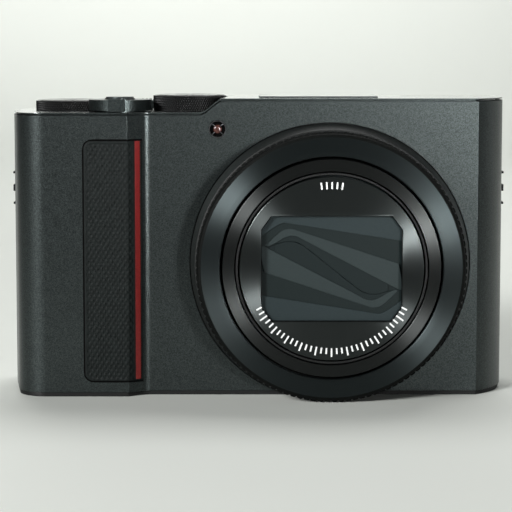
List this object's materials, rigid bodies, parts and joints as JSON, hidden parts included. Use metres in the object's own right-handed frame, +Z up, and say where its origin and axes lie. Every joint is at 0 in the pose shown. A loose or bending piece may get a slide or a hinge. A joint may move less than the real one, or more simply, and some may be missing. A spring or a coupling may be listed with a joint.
{
  "type": "compact digital camera",
  "caption": "Pocket camera with a low dial deck, a front grip with a stripe, and a telescoping zoom lens closed by sliding blades inside a knurled control ring.",
  "frame": {"origin": "centre of the base face, on the plane the camera stands on", "axes": "+X to the right seen from the front, +Y to the back, +Z up"},
  "size_m": [0.1124, 0.0452, 0.0669],
  "materials": {
    "casing_paint": "fine metallic charcoal paint, satin",
    "black_anodised": "satin black",
    "black_plastic": "matt black",
    "grip_rubber": "textured rubber",
    "red_trim": "satin red",
    "lamp": "clear red-tinted plastic",
    "blade_metal": "satin grey",
    "screen": "dark glass",
    "optics": "coated optical glass",
    "steel": "bare steel",
    "board": "circuit board",
    "dark_plastic": "dark plastic"
  },
  "bodies": {
    "root": {"front_cover": "casing_paint", "rear_cover": "casing_paint", "top_cover": "casing_paint", "base_cover": "black_plastic", "grip_insert": "grip_rubber", "grip_stripe": "red_trim", "af_lamp": "lamp", "lens_collar": "black_plastic", "lens_housing": "black_plastic", "rear_lens_group": "black_plastic", "image_sensor": "board", "shutter_spring": "steel", "screen_glass": "screen", "screen_panel": "dark_plastic", "eyepiece_frame": "black_plastic", "eyepiece_lens": "optics", "thumb_rest": "grip_rubber", "battery": "dark_plastic", "memory_card": "dark_plastic", "strap_eyelets": "steel", "tripod_socket": "steel", "chassis": "steel", "main_board": "board", "case_screws": "steel"},
    "control_ring": {"control_ring": "black_anodised"},
    "barrel_outer": {"barrel_outer": "black_anodised"},
    "barrel_inner": {"barrel_inner": "black_anodised", "front_bezel": "black_anodised", "barrier_base": "black_plastic", "front_lens": "optics"},
    "mode_dial": {"mode_dial": "black_anodised"},
    "control_dial": {"control_dial": "black_anodised"},
    "zoom_lever": {"zoom_lever": "black_anodised"},
    "shutter_button": {"shutter_button": "black_anodised"},
    "power_switch": {"power_switch": "black_plastic"},
    "movie_button": {"movie_button": "dark_plastic"},
    "flash_front_arm": {"flash_front_arm": "steel"},
    "flash_rear_arm": {"flash_rear_arm": "steel"},
    "flash_head": {"flash_head": "casing_paint"},
    "flash_switch": {"flash_switch": "black_plastic"},
    "dioptre_dial": {"dioptre_dial": "black_plastic"},
    "viewfinder_button": {"viewfinder_button": "dark_plastic"},
    "fn1_button": {"fn1_button": "dark_plastic"},
    "fn2_button": {"fn2_button": "dark_plastic"},
    "menu_button": {"menu_button": "dark_plastic"},
    "playback_button": {"playback_button": "dark_plastic"},
    "display_button": {"display_button": "dark_plastic"},
    "cursor_pad": {"cursor_pad": "dark_plastic"},
    "set_button": {"set_button": "dark_plastic"},
    "battery_door": {"battery_door": "black_plastic"},
    "door_latch": {"door_latch": "dark_plastic"},
    "port_door": {"port_door": "casing_paint"},
    "blade_upper_1": {"barrier_blade_upper_1": "blade_metal"},
    "blade_upper_2": {"barrier_blade_upper_2": "blade_metal"},
    "blade_upper_3": {"barrier_blade_upper_3": "blade_metal"},
    "blade_upper_4": {"barrier_blade_upper_4": "blade_metal"},
    "blade_lower_1": {"barrier_blade_lower_1": "blade_metal"},
    "blade_lower_2": {"barrier_blade_lower_2": "blade_metal"},
    "blade_lower_3": {"barrier_blade_lower_3": "blade_metal"},
    "blade_lower_4": {"barrier_blade_lower_4": "blade_metal"}
  },
  "joints": [
    {"name": "zoom_extend", "type": "slide", "parent": "root", "child": "barrel_outer", "axis": [0, -1, 0], "range_m": [0, 0.02]},
    {"name": "zoom_extend_inner", "type": "slide", "parent": "barrel_outer", "child": "barrel_inner", "axis": [0, -1, 0], "range_m": [0, 0.02]},
    {"name": "barrier_open", "type": "hinge", "parent": "barrel_inner", "child": "blade_upper_4", "pos_m": [0.0011, -0.0256, 0.0405], "axis": [0, -1, 0], "range_deg": [0, 31]},
    {"name": "barrier_upper_3", "type": "hinge", "parent": "barrel_inner", "child": "blade_upper_3", "pos_m": [0.0011, -0.0256, 0.0405], "axis": [0, -1, 0], "range_deg": [0, 20.5]},
    {"name": "barrier_upper_2", "type": "hinge", "parent": "barrel_inner", "child": "blade_upper_2", "pos_m": [0.0011, -0.0256, 0.0405], "axis": [0, -1, 0], "range_deg": [0, 12.5]},
    {"name": "barrier_upper_1", "type": "hinge", "parent": "barrel_inner", "child": "blade_upper_1", "pos_m": [0.0011, -0.0256, 0.0405], "axis": [0, -1, 0], "range_deg": [0, 4.5]},
    {"name": "barrier_lower_4", "type": "hinge", "parent": "barrel_inner", "child": "blade_lower_4", "pos_m": [0.0307, -0.0256, 0.0191], "axis": [0, -1, 0], "range_deg": [0, 31]},
    {"name": "barrier_lower_3", "type": "hinge", "parent": "barrel_inner", "child": "blade_lower_3", "pos_m": [0.0307, -0.0256, 0.0191], "axis": [0, -1, 0], "range_deg": [0, 20.5]},
    {"name": "barrier_lower_2", "type": "hinge", "parent": "barrel_inner", "child": "blade_lower_2", "pos_m": [0.0307, -0.0256, 0.0191], "axis": [0, -1, 0], "range_deg": [0, 12.5]},
    {"name": "barrier_lower_1", "type": "hinge", "parent": "barrel_inner", "child": "blade_lower_1", "pos_m": [0.0307, -0.0256, 0.0191], "axis": [0, -1, 0], "range_deg": [0, 4.5]},
    {"name": "control_ring_turn", "type": "hinge", "parent": "root", "child": "control_ring", "pos_m": [0.0159, -0.023, 0.0298], "axis": [0, -1, 0], "continuous": true},
    {"name": "mode_dial_turn", "type": "hinge", "parent": "root", "child": "mode_dial", "pos_m": [-0.0157, -0.0005, 0.065], "axis": [0, 0, 1], "continuous": true},
    {"name": "control_dial_turn", "type": "hinge", "parent": "root", "child": "control_dial", "pos_m": [-0.0427, 0.0045, 0.065], "axis": [0, 0, 1], "continuous": true},
    {"name": "zoom_lever_turn", "type": "hinge", "parent": "root", "child": "zoom_lever", "pos_m": [-0.0312, -0.0075, 0.065], "axis": [0, 0, 1], "range_deg": [-20, 20], "stiffness_Nm_per_rad": 0.01},
    {"name": "shutter_press", "type": "slide", "parent": "root", "child": "shutter_button", "axis": [0, 0, -1], "range_m": [0, 0.001], "stiffness_N_per_m": 600},
    {"name": "movie_press", "type": "slide", "parent": "root", "child": "movie_button", "axis": [0, 0, -1], "range_m": [0, 0.0005], "stiffness_N_per_m": 800},
    {"name": "power_slide", "type": "slide", "parent": "root", "child": "power_switch", "axis": [-1, 0, 0], "range_m": [0, 0.003]},
    {"name": "flash_lift", "type": "hinge", "parent": "root", "child": "flash_front_arm", "pos_m": [0.0135, -0.005, 0.0592], "axis": [1, 0, 0], "range_deg": [0, 65]},
    {"name": "flash_rear_lift", "type": "hinge", "parent": "root", "child": "flash_rear_arm", "pos_m": [0.0135, -0.002, 0.0616], "axis": [1, 0, 0], "range_deg": [0, 65]},
    {"name": "flash_head_level", "type": "hinge", "parent": "flash_front_arm", "child": "flash_head", "pos_m": [0.0135, 0.004, 0.0592], "axis": [1, 0, 0], "range_deg": [-65, 0]},
    {"name": "flash_switch_slide", "type": "slide", "parent": "root", "child": "flash_switch", "axis": [1, 0, 0], "range_m": [0, 0.0012], "stiffness_N_per_m": 200},
    {"name": "dioptre_turn", "type": "hinge", "parent": "root", "child": "dioptre_dial", "pos_m": [0.05, 0.015, 0.0585], "axis": [0, 1, 0], "range_deg": [-150, 150]},
    {"name": "viewfinder_press", "type": "slide", "parent": "root", "child": "viewfinder_button", "axis": [0, -1, 0], "range_m": [0, 0.0005], "stiffness_N_per_m": 800},
    {"name": "fn1_press", "type": "slide", "parent": "root", "child": "fn1_button", "axis": [0, -1, 0], "range_m": [0, 0.0005], "stiffness_N_per_m": 800},
    {"name": "fn2_press", "type": "slide", "parent": "root", "child": "fn2_button", "axis": [0, -1, 0], "range_m": [0, 0.0005], "stiffness_N_per_m": 800},
    {"name": "menu_press", "type": "slide", "parent": "root", "child": "menu_button", "axis": [0, -1, 0], "range_m": [0, 0.0005], "stiffness_N_per_m": 800},
    {"name": "playback_press", "type": "slide", "parent": "root", "child": "playback_button", "axis": [0, -1, 0], "range_m": [0, 0.0005], "stiffness_N_per_m": 800},
    {"name": "display_press", "type": "slide", "parent": "root", "child": "display_button", "axis": [0, -1, 0], "range_m": [0, 0.0005], "stiffness_N_per_m": 800},
    {"name": "cursor_pad_press", "type": "slide", "parent": "root", "child": "cursor_pad", "axis": [0, -1, 0], "range_m": [0, 0.0005], "stiffness_N_per_m": 800},
    {"name": "set_press", "type": "slide", "parent": "root", "child": "set_button", "axis": [0, -1, 0], "range_m": [0, 0.0005], "stiffness_N_per_m": 800},
    {"name": "battery_door_open", "type": "hinge", "parent": "root", "child": "battery_door", "pos_m": [-0.036, 0.0093, 0.0007], "axis": [1, 0, 0], "range_deg": [0, 95]},
    {"name": "door_latch_slide", "type": "slide", "parent": "battery_door", "child": "door_latch", "axis": [1, 0, 0], "range_m": [0, 0.0025]},
    {"name": "port_door_open", "type": "hinge", "parent": "root", "child": "port_door", "pos_m": [-0.05495, -0.0009, 0.025], "axis": [0, 0, 1], "range_deg": [0, 90]}
  ],
  "couplings": [
    {"joint": "zoom_extend_inner", "follows": "zoom_extend", "ratio": 1},
    {"joint": "barrier_upper_3", "follows": "barrier_open", "ratio": 0.66129},
    {"joint": "barrier_upper_2", "follows": "barrier_open", "ratio": 0.40323},
    {"joint": "barrier_upper_1", "follows": "barrier_open", "ratio": 0.14516},
    {"joint": "barrier_lower_4", "follows": "barrier_open", "ratio": 1},
    {"joint": "barrier_lower_3", "follows": "barrier_open", "ratio": 0.66129},
    {"joint": "barrier_lower_2", "follows": "barrier_open", "ratio": 0.40323},
    {"joint": "barrier_lower_1", "follows": "barrier_open", "ratio": 0.14516},
    {"joint": "flash_rear_lift", "follows": "flash_lift", "ratio": 1},
    {"joint": "flash_head_level", "follows": "flash_lift", "ratio": -1}
  ]
}
